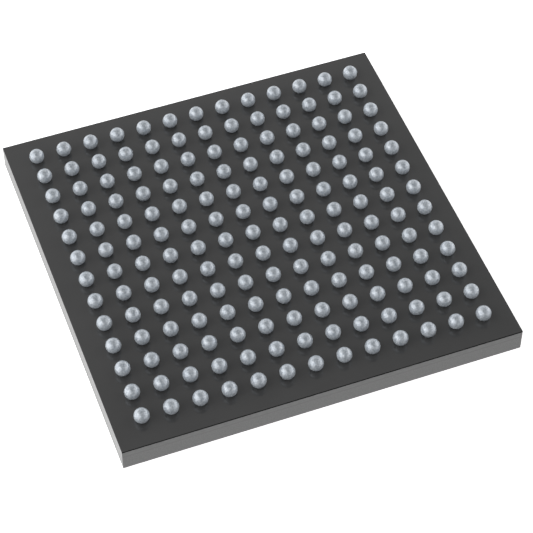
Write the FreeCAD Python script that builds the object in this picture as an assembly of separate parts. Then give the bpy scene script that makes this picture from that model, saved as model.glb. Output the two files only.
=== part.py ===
import FreeCAD, Part
import math
import os

# A thin ball grid array package, lying on the outer face of its mould cap with its balls up.
# The origin is the centre of that outer face, +Z points up through the package towards the
# balls, and -Y is the front wall. All lengths are in millimetres.

# Solder ball array. Row A is at the back, column 1 at the right, seen with the balls up.
pitch = 1.0
rows = 13
columns = 13
edge_margin = 1.0
ball_diameter = 0.53
row_letters = "abcdefghjklmnprtuvwy"

# Laminate substrate: a core with copper and solder mask on both sides
core_thickness = 0.20
copper_thickness = 0.040
mask_cover = 0.020
mask_opening = 0.30
pad_plating = 0.010
land_diameter = 0.40
neck_width = 0.12
via_diameter = 0.12
via_pad_diameter = 0.26
copper_gap = 0.08

# Die and its seat
die_side = 5.4
die_thickness = 0.20
attach_thickness = 0.025
paddle_margin = 0.25

# Bond fingers, in one straight row beside each edge of the die
fingers_per_side = 36
finger_length = 0.40
finger_width = 0.10
finger_run = 0.55
corner_gap = 0.30
window_margin = 0.05

# Gold bond wires, one to each finger
wire_diameter = 0.025
loop_height = 0.15
loop_shoulder = 0.35
bond_diameter = 0.06
bond_height = 0.02
die_pad_inset = 0.10

# Mould cap, with a round dimple in its outer face under ball A1
mould_cover = 0.205
dimple_diameter = 1.0
dimple_depth = 0.05
dimple_inset = 1.2

# Sizes and levels that follow from the values above
body_width = (columns - 1) * pitch + 2 * edge_margin
body_length = (rows - 1) * pitch + 2 * edge_margin
mask_thickness = copper_thickness + mask_cover
mould_thickness = mould_cover + loop_height + die_thickness + attach_thickness
die_mask_level = mould_thickness
core_bottom = die_mask_level + mask_thickness
core_top = core_bottom + core_thickness
ball_mask_level = core_top + mask_thickness
die_copper_level = core_bottom - copper_thickness
land_level = core_top + copper_thickness
attach_level = die_mask_level - attach_thickness
die_level = attach_level - die_thickness
paddle_side = die_side + 2 * paddle_margin


def slab(width, length, bottom, top):
    """A block centred on the package's axis, between two levels."""
    corner = FreeCAD.Vector(-width / 2, -length / 2, bottom)
    return Part.makeBox(width, length, top - bottom, corner)


def disc(x, y, diameter, bottom, top):
    """A round upright solid between two levels."""
    return Part.makeCylinder(diameter / 2, top - bottom, FreeCAD.Vector(x, y, bottom))


def moved(shape, x, y):
    """A copy of a solid that was modelled over the origin."""
    copy = shape.copy()
    copy.translate(FreeCAD.Vector(x, y, 0))
    return copy


def line_positions(count):
    """Ball positions along one row or column, centred on the package."""
    return [(index - (count - 1) / 2) * pitch for index in range(count)]


def outward(position):
    """The sign of the step from a ball to its via, away from the centre line."""
    return 1 if position >= 0 else -1


def first_line_beyond(count, reach):
    """The nearest line of balls at least this far from the centre."""
    offset = 0 if count % 2 else pitch / 2
    return offset + pitch * math.ceil((reach - offset) / pitch)


def row_name(index):
    """Row letters run on as double letters past the last single one."""
    cycle, place = divmod(index, len(row_letters))
    prefix = row_letters[cycle - 1] if cycle else ""
    return prefix + row_letters[place]


# Rows run from the back wall to the front, columns from the right wall to the left
column_x = line_positions(columns)[::-1]
row_y = line_positions(rows)[::-1]
ball_places = [(x, y) for y in row_y for x in column_x]

# The finger rows stand on lines of balls, so they pass between the lines of vias
finger_reach = die_side / 2 + finger_run + finger_length / 2
finger_x = first_line_beyond(columns, finger_reach)
finger_y = first_line_beyond(rows, finger_reach)


def via_place(x, y):
    """The via of a ball stands in the middle of the four balls on its outer side."""
    return x + outward(x) * pitch / 2, y + outward(y) * pitch / 2


def over_paddle(x, y):
    return max(abs(x), abs(y)) <= paddle_side / 2


def solder_ball():
    """A reflowed ball: a sphere cut flat where it wets its land through the mask opening."""
    radius = ball_diameter / 2
    opening = mask_opening / 2
    seat = land_level + pad_plating
    centre = ball_mask_level + math.sqrt(radius ** 2 - opening ** 2)
    top = FreeCAD.Vector(0, 0, centre + radius)
    side = FreeCAD.Vector(radius, 0, centre)
    rim = FreeCAD.Vector(opening, 0, ball_mask_level)
    foot = FreeCAD.Vector(opening, 0, seat)
    axis_foot = FreeCAD.Vector(0, 0, seat)
    half_section = Part.Wire([
        Part.Arc(top, side, rim).toShape(),
        Part.makeLine(rim, foot),
        Part.makeLine(foot, axis_foot),
        Part.makeLine(axis_foot, top),
    ])
    return Part.Face(half_section).revolve(FreeCAD.Vector(0, 0, 0), FreeCAD.Vector(0, 0, 1), 360)


def land_with_via(step_x, step_y, with_die_pad):
    """One ball's copper: its plated land, the neck to the via, and the plated via itself."""
    via_x = step_x * pitch / 2
    via_y = step_y * pitch / 2
    run = math.hypot(via_x, via_y)
    neck_corner = FreeCAD.Vector(0, -neck_width / 2, core_top)
    neck = Part.makeBox(run, neck_width, copper_thickness, neck_corner)
    turn = math.degrees(math.atan2(via_y, via_x))
    neck.rotate(FreeCAD.Vector(0, 0, 0), FreeCAD.Vector(0, 0, 1), turn)
    pieces = [
        neck,
        disc(0, 0, mask_opening, land_level, land_level + pad_plating),
        disc(via_x, via_y, via_pad_diameter, core_top, land_level),
        disc(via_x, via_y, via_diameter, core_bottom, core_top),
    ]
    if with_die_pad:
        pieces.append(disc(via_x, via_y, via_pad_diameter, die_copper_level, core_bottom))
    return disc(0, 0, land_diameter, core_top, land_level).fuse(pieces).removeSplitter()


def lands_and_vias():
    """The copper of every ball. Vias over the paddle end on it and need no pad of their own."""
    patterns = {}
    lands = []
    for x, y in ball_places:
        kind = (outward(x), outward(y), not over_paddle(*via_place(x, y)))
        if kind not in patterns:
            patterns[kind] = land_with_via(*kind)
        lands.append(moved(patterns[kind], x, y))
    return lands


def laminate_core():
    """The glass-cloth laminate, drilled for its vias."""
    bores = [disc(*via_place(x, y), via_diameter, core_bottom, core_top) for x, y in ball_places]
    return slab(body_width, body_length, core_bottom, core_top).cut(bores)


def mask_ball_side(lands):
    """The solder mask over the ball lands, open over the middle of each one."""
    openings = [disc(x, y, mask_opening, land_level, ball_mask_level) for x, y in ball_places]
    return slab(body_width, body_length, core_top, ball_mask_level).cut(lands + openings)


def die_paddle():
    """The copper field under the die, clear of the signal vias around it."""
    paddle = slab(paddle_side, paddle_side, die_copper_level, core_bottom)
    gap_diameter = via_pad_diameter + 2 * copper_gap
    reach = (paddle_side + gap_diameter) / 2
    places = [via_place(x, y) for x, y in ball_places]
    near = [place for place in places if max(abs(place[0]), abs(place[1])) < reach]
    gaps = [disc(x, y, gap_diameter, die_copper_level, core_bottom)
            for x, y in near if not over_paddle(x, y)]
    return paddle.cut(gaps) if gaps else paddle


def side_rows():
    """For each side of the die: its turn, the finger row's distance and half its length."""
    inner_x = finger_x - finger_length / 2 - corner_gap
    inner_y = finger_y - finger_length / 2 - corner_gap
    return [(0, finger_x, inner_y), (90, finger_y, inner_x),
            (180, finger_x, inner_y), (270, finger_y, inner_x)]


def spread(half_length):
    """Even places along a row of fingers or of die pads."""
    step = 2 * half_length / (fingers_per_side - 1)
    return [index * step - half_length for index in range(fingers_per_side)]


def turned(shape, angle):
    """Turn a shape that was modelled on the right-hand side round to its own side."""
    shape.rotate(FreeCAD.Vector(0, 0, 0), FreeCAD.Vector(0, 0, 1), angle)
    return shape


def bond_fingers():
    """Plated copper fingers, where the wires are stitched down."""
    fingers = []
    for angle, distance, half_row in side_rows():
        for along in spread(half_row - finger_width / 2):
            corner = FreeCAD.Vector(distance - finger_length / 2, along - finger_width / 2,
                                    die_copper_level)
            finger = Part.makeBox(finger_length, finger_width, copper_thickness, corner)
            fingers.append(turned(finger, angle))
    return fingers


def finger_windows():
    """The long openings in the die-side mask that leave the fingers bare."""
    windows = []
    for angle, distance, half_row in side_rows():
        width = finger_length + 2 * window_margin
        half_length = half_row + window_margin
        corner = FreeCAD.Vector(distance - width / 2, -half_length, die_mask_level)
        window = Part.makeBox(width, 2 * half_length, mask_thickness, corner)
        windows.append(turned(window, angle))
    return windows


def bond_wire(die_x, die_y, finger_along, distance):
    """A gold wire: ball bond on the die, riser, shoulder, long span and stitch on the finger."""
    radius = wire_diameter / 2
    loop_level = die_level - loop_height + radius
    shoulder_x = die_x + loop_shoulder * (distance - die_x)
    shoulder_y = die_y + loop_shoulder * (finger_along - die_y)
    points = [
        FreeCAD.Vector(die_x, die_y, die_level),
        FreeCAD.Vector(die_x, die_y, loop_level),
        FreeCAD.Vector(shoulder_x, shoulder_y, loop_level),
        FreeCAD.Vector(distance, finger_along, die_copper_level - radius),
    ]
    path = Part.makePolygon(points)
    section = Part.Wire(Part.makeCircle(radius, points[0], FreeCAD.Vector(0, 0, 1)))
    wire = path.makePipeShell([section], True, False, 1)
    ball_bond = disc(die_x, die_y, bond_diameter, die_level - bond_height, die_level)
    stitch = disc(distance, finger_along, bond_diameter, die_copper_level - wire_diameter,
                  die_copper_level)
    return wire.fuse([ball_bond, stitch])


def bond_wires():
    """The wires fan out from the die's edge to the longer rows of fingers."""
    wires = []
    die_x = die_side / 2 - die_pad_inset
    for angle, distance, half_row in side_rows():
        die_row = spread(die_side / 2 - 2 * die_pad_inset)
        finger_row = spread(half_row - finger_width / 2)
        for die_y, finger_along in zip(die_row, finger_row):
            wires.append(turned(bond_wire(die_x, die_y, finger_along, distance), angle))
    return wires


def mask_die_side(paddle, lands, windows):
    """The solder mask on the moulded side, over the paddle and the via pads."""
    sheet = slab(body_width, body_length, die_mask_level, core_bottom)
    return sheet.cut([paddle] + lands + windows)


def mould_cap(windows, enclosed):
    """The moulded block, cast round all that it encloses, with the A1 dimple outside."""
    block = slab(body_width, body_length, 0, mould_thickness).fuse(windows)
    dimple = disc(body_width / 2 - dimple_inset, body_length / 2 - dimple_inset,
                  dimple_diameter, 0, dimple_depth)
    return block.cut(enclosed + [dimple])


def write(name, solids):
    """One file per node, holding one solid or a group of separate ones."""
    shape = solids[0] if len(solids) == 1 else Part.makeCompound(solids)
    shape.exportStep(os.path.join("parts", name + ".step"))


def main():
    os.makedirs("parts", exist_ok=True)
    lands = lands_and_vias()
    paddle = die_paddle()
    windows = finger_windows()
    fingers = bond_fingers()
    wires = bond_wires()
    die = slab(die_side, die_side, die_level, attach_level)
    attach_film = slab(die_side, die_side, attach_level, die_mask_level)

    write("mould_cap", [mould_cap(windows, fingers + wires + [die, attach_film])])
    write("silicon_die", [die])
    write("die_attach_film", [attach_film])
    write("bond_wires", wires)
    write("bond_fingers", fingers)
    write("die_paddle", [paddle])
    write("mask_die_side", [mask_die_side(paddle, lands, windows)])
    write("laminate_core", [laminate_core()])
    write("lands_and_vias", lands)
    write("mask_ball_side", [mask_ball_side(lands)])

    ball = solder_ball()
    for index, y in enumerate(row_y):
        write("solder_balls_row_" + row_name(index), [moved(ball, x, y) for x in column_x])


main()
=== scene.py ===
import bpy
import math
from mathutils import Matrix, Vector

# A ball grid array chip lies on its mould cap on a white table, its solder balls up, among soft
# light panels. Lengths are in metres, so a millimetre is:
MM = 0.001

# Camera, as in the photograph
CAMERA_PLACE = Vector((-15.357, -42.813, 54.711)) * MM
CAMERA_AZIMUTH = 20.317
CAMERA_ELEVATION = 50.645
SENSOR_WIDTH = 36.0
LENS = 137.68

# Round soft panels far off in the room. Each is given by its azimuth from +X, in degrees, and its
# brightness. A low ring stands at the chip's level and a high ring above it, both with a gap in
# front, and the floor is lit on the left and behind.
LOW_PANELS = {0: 0.95, 30: 1.0, 60: 0.35, 90: 0.2, 120: 1.15, 150: 0.5, 180: 0.7, 210: 0.3,
              300: 0.5, 330: 0.6}
LOW_ELEVATION = 5
HIGH_PANELS = {15: 0.4, 51: 0.1, 87: 0.5, 159: 1.15, 195: 1.3, 231: 0.7, 303: 0.12, 339: 0.75}
HIGH_ELEVATION = 36
PANEL_HALF_ANGLE = 36
LIT_FLOOR = {90: 0.5, 180: 1.1}
FLOOR_ELEVATION = -40
FLOOR_HALF_ANGLE = 70

# Brightness of the backdrop, which only the camera sees
BACKDROP = 1.0

# How near and how far the camera sees
NEAREST_SEEN = 1 * MM
FARTHEST_SEEN = 10.0

# The table is far wider than the view, and lies just below the chip, so that their faces don't
# coincide.
TABLE_WIDTH = 4.0
TABLE_GAP = 0.01 * MM
TABLE_GLOW = 0.8

# Widths of the finishes' patterns and depths of their relief, in millimetres. The laminate's
# threads are drawn out along the plane of the cloth.
MASK_FLOW = 1.6
FILLER_GRAIN = 0.05
FILLER_RELIEF = 0.002
GLASS_THREAD = 0.05
GLASS_THREAD_STRETCH = (4, 4, 1)
GLASS_THREAD_RELIEF = 0.001
SOLDER_GRAIN = 0.055
SOLDER_RELIEF = 0.006


def linear(hex_colour):
    """An sRGB hex colour as linear red, green, blue and alpha."""
    channels = [int(hex_colour[i:i + 2], 16) / 255 for i in (1, 3, 5)]
    return [c / 12.92 if c <= 0.04045 else ((c + 0.055) / 1.055) ** 2.4 for c in channels] + [1.0]


def add_node(tree, kind, settings=(), values=(), links=()):
    """Add a node with its properties, its socket values and the sockets that feed it."""
    made = tree.nodes.new(kind)
    for name, value in dict(settings).items():
        setattr(made, name, value)
    for name, value in dict(values).items():
        made.inputs[name].default_value = value
    for name, source in dict(links).items():
        tree.links.new(source, made.inputs[name])
    return made


def new_material(name):
    """An empty node material and its output."""
    material = bpy.data.materials.new(name)
    material.use_nodes = True
    material.node_tree.nodes.clear()
    output = add_node(material.node_tree, "ShaderNodeOutputMaterial")
    return material, material.node_tree, output


def per_mm(size):
    """Texture scale at which one pattern feature is this many millimetres wide."""
    return 1 / (size * MM)


def noise(tree, place, size, detail, stretch=(1, 1, 1)):
    """Soft noise whose features are this many millimetres wide, drawn out along some axes."""
    drawn = add_node(tree, "ShaderNodeMapping", values={"Scale": [1 / part for part in stretch]},
                     links={"Vector": place})
    made = add_node(tree, "ShaderNodeTexNoise", values={"Scale": per_mm(size), "Detail": detail},
                    links={"Vector": drawn.outputs["Vector"]})
    return made.outputs["Fac"]


def between(tree, factor, low, high, start=0.3, end=0.7):
    """A value that runs from low to high with the middle range of a noise."""
    made = add_node(tree, "ShaderNodeMapRange",
                    values={"From Min": start, "From Max": end, "To Min": low, "To Max": high},
                    links={"Value": factor})
    return made.outputs["Result"]


def tone_between(tree, factor, dark, pale):
    """A colour that runs between two tones with the middle range of a noise."""
    made = add_node(tree, "ShaderNodeMix", settings={"data_type": "RGBA"},
                    values={"A": linear(dark), "B": linear(pale)},
                    links={"Factor": between(tree, factor, 0, 1)})
    return made.outputs["Result"]


def relief(tree, height, depth):
    """Bumps this many millimetres deep."""
    made = add_node(tree, "ShaderNodeBump", values={"Distance": depth * MM},
                    links={"Height": height})
    return made.outputs["Normal"]


def solder_mask(name, sawn):
    """Liquid photo-imageable solder mask: charcoal and glossy, with a faint unevenness where it
    levelled, and the given tone on its sawn sides, which are found by the way they face; a tone
    darker than the face there is painted shade."""
    material, tree, output = new_material(name)
    place = add_node(tree, "ShaderNodeTexCoord")
    flow = noise(tree, place.outputs["Object"], MASK_FLOW, 3)
    facing = add_node(tree, "ShaderNodeSeparateXYZ", links={"Vector": place.outputs["Normal"]})
    flat = add_node(tree, "ShaderNodeMath", settings={"operation": "ABSOLUTE"},
                    links={0: facing.outputs["Z"]})
    # Sides take the sawn tone and faces the mask's own tone; a sawn tone darker than the face is
    # painted shade.
    tone = add_node(tree, "ShaderNodeMix", settings={"data_type": "RGBA"},
                    values={"A": linear(sawn)},
                    links={"B": tone_between(tree, flow, "#424242", "#464646"),
                           "Factor": flat.outputs["Value"]})
    shader = add_node(tree, "ShaderNodeBsdfPrincipled", values={"IOR": 1.6},
                      links={"Base Color": tone.outputs["Result"],
                             "Roughness": between(tree, flow, 0.04, 0.08)})
    tree.links.new(shader.outputs["BSDF"], output.inputs["Surface"])
    return material


def mould_compound():
    """Silica-filled epoxy, moulded with a fine matt texture and sawn on its walls."""
    material, tree, output = new_material("grey_mould_compound")
    place = add_node(tree, "ShaderNodeTexCoord").outputs["Object"]
    filler = noise(tree, place, FILLER_GRAIN, 4)
    shader = add_node(tree, "ShaderNodeBsdfPrincipled", values={"IOR": 1.5, "Roughness": 0.6},
                      links={"Base Color": tone_between(tree, filler, "#959595", "#a8a8a8"),
                             "Normal": relief(tree, filler, FILLER_RELIEF)})
    tree.links.new(shader.outputs["BSDF"], output.inputs["Surface"])
    return material


def laminate():
    """Glass-cloth laminate: a sawn edge, with the cloth's threads as faint long streaks."""
    material, tree, output = new_material("grey_glass_laminate")
    place = add_node(tree, "ShaderNodeTexCoord").outputs["Object"]
    threads = noise(tree, place, GLASS_THREAD, 4, GLASS_THREAD_STRETCH)
    shader = add_node(tree, "ShaderNodeBsdfPrincipled", values={"IOR": 1.5, "Roughness": 0.6},
                      links={"Base Color": tone_between(tree, threads, "#979797", "#a6a6a6"),
                             "Normal": relief(tree, threads, GLASS_THREAD_RELIEF)})
    tree.links.new(shader.outputs["BSDF"], output.inputs["Surface"])
    return material


def solder():
    """Tin-silver-copper solder after reflow: a satin skin, finely mottled by its grains."""
    material, tree, output = new_material("reflowed_tin_silver_solder")
    place = add_node(tree, "ShaderNodeTexCoord").outputs["Object"]
    grain = noise(tree, place, SOLDER_GRAIN, 2)
    shader = add_node(tree, "ShaderNodeBsdfPrincipled", values={"Metallic": 0.26},
                      links={"Base Color": tone_between(tree, grain, "#abb4be", "#dae0e6"),
                             "Roughness": between(tree, grain, 0.1, 0.18),
                             "Normal": relief(tree, grain, SOLDER_RELIEF)})
    tree.links.new(shader.outputs["BSDF"], output.inputs["Surface"])
    return material


def plain(name, hex_colour, metallic, roughness):
    """An even finish, for the pieces inside the package."""
    material, tree, output = new_material(name)
    shader = add_node(tree, "ShaderNodeBsdfPrincipled",
                      values={"Base Color": linear(hex_colour), "Metallic": metallic,
                              "Roughness": roughness})
    tree.links.new(shader.outputs["BSDF"], output.inputs["Surface"])
    return material


def dress(material, *names):
    """Give CAD nodes a finish."""
    for name in names:
        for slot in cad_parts[name].material_slots:
            slot.material = material


def make_table():
    """A white table, lit evenly from within, so that it stays white round the chip. It is clear
    from below, so that the mould face can be looked at."""
    bpy.ops.mesh.primitive_plane_add(size=TABLE_WIDTH, location=(0, 0, -TABLE_GAP))
    table = bpy.context.object
    table.name = "white_table"
    material, tree, output = new_material("white_table")
    shader = add_node(tree, "ShaderNodeBsdfPrincipled",
                      values={"Base Color": linear("#ffffff"), "Roughness": 0.9,
                              "Emission Color": linear("#ffffff"),
                              "Emission Strength": TABLE_GLOW})
    clear = add_node(tree, "ShaderNodeBsdfTransparent")
    side = add_node(tree, "ShaderNodeNewGeometry").outputs["Backfacing"]
    surface = add_node(tree, "ShaderNodeMixShader",
                       links={0: side, 1: shader.outputs["BSDF"], 2: clear.outputs["BSDF"]})
    tree.links.new(surface.outputs["Shader"], output.inputs["Surface"])
    table.data.materials.append(material)
    table.visible_diffuse = False
    table.visible_glossy = False
    table.visible_shadow = False


def make_camera():
    """The camera of the photograph: level across, and turned clockwise from +Y by its azimuth."""
    data = bpy.data.cameras.new("camera")
    data.sensor_width = SENSOR_WIDTH
    data.lens = LENS
    data.clip_start = NEAREST_SEEN
    data.clip_end = FARTHEST_SEEN
    camera = bpy.data.objects.new("camera", data)
    bpy.context.scene.collection.objects.link(camera)
    camera.location = CAMERA_PLACE
    camera.rotation_euler = (math.radians(90 - CAMERA_ELEVATION), 0, -math.radians(CAMERA_AZIMUTH))
    bpy.context.scene.camera = camera


def soft_light(tree, direction, azimuth, elevation, half_angle, brightness):
    """A round soft panel far off in the room: its brightness fades from its middle to its rim."""
    up = math.radians(elevation)
    round_about = math.radians(azimuth)
    towards = (math.cos(up) * math.cos(round_about), math.cos(up) * math.sin(round_about),
               math.sin(up))
    nearness = add_node(tree, "ShaderNodeVectorMath", settings={"operation": "DOT_PRODUCT"},
                        values={1: towards}, links={0: direction})
    glow = add_node(tree, "ShaderNodeMapRange", settings={"interpolation_type": "SMOOTHSTEP"},
                    values={"From Min": math.cos(math.radians(half_angle)), "To Max": brightness},
                    links={"Value": nearness.outputs["Value"]})
    return glow.outputs["Result"]


def make_studio():
    """A dim room with rings of soft panels and a lit floor, and a pale backdrop."""
    world = bpy.data.worlds.new("studio")
    bpy.context.scene.world = world
    world.use_nodes = True
    tree = world.node_tree
    direction = add_node(tree, "ShaderNodeTexCoord").outputs["Generated"]
    groups = [(LOW_PANELS, LOW_ELEVATION, PANEL_HALF_ANGLE),
              (HIGH_PANELS, HIGH_ELEVATION, PANEL_HALF_ANGLE),
              (LIT_FLOOR, FLOOR_ELEVATION, FLOOR_HALF_ANGLE)]
    level = None
    for group, elevation, half_angle in groups:
        for azimuth, brightness in group.items():
            light = soft_light(tree, direction, azimuth, elevation, half_angle, brightness)
            if level is None:
                level = light
                continue
            total = add_node(tree, "ShaderNodeMath", settings={"operation": "ADD"},
                             links={0: level, 1: light})
            level = total.outputs["Value"]
    seen = add_node(tree, "ShaderNodeLightPath").outputs["Is Camera Ray"]
    shown = add_node(tree, "ShaderNodeMix", values={"B": BACKDROP},
                     links={"Factor": seen, "A": level})
    tree.links.new(shown.outputs["Result"], tree.nodes["Background"].inputs["Strength"])
    tree.nodes["Background"].inputs["Color"].default_value = (1, 1, 1, 1)
    bpy.context.scene.view_settings.view_transform = "Standard"


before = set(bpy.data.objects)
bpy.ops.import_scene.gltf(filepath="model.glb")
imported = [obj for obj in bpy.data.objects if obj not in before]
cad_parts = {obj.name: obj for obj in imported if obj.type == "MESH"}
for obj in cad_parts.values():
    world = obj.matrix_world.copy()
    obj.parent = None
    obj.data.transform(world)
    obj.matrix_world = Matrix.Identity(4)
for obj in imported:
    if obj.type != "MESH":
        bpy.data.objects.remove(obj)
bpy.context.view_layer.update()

ball_rows = [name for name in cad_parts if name.startswith("solder_balls_row_")]
# The ball-side mask's sawn sides are painted dark: painted shade that deepens the thin dark line
# along the front top edge.
dress(solder_mask("solder_mask_with_painted_shade_on_sides", "#2a2a2a"), "mask_ball_side")
dress(solder_mask("grey_edged_solder_mask", "#a5a5a5"), "mask_die_side")
dress(mould_compound(), "mould_cap")
dress(laminate(), "laminate_core")
dress(solder(), *ball_rows)
dress(plain("plated_copper", "#c47a52", 1.0, 0.3), "lands_and_vias", "die_paddle")
dress(plain("gold", "#d8ab4e", 1.0, 0.25), "bond_wires", "bond_fingers")
dress(plain("silicon", "#565b66", 0.0, 0.15), "silicon_die")
dress(plain("adhesive_film", "#8a8378", 0.0, 0.6), "die_attach_film")

make_table()
make_camera()
make_studio()
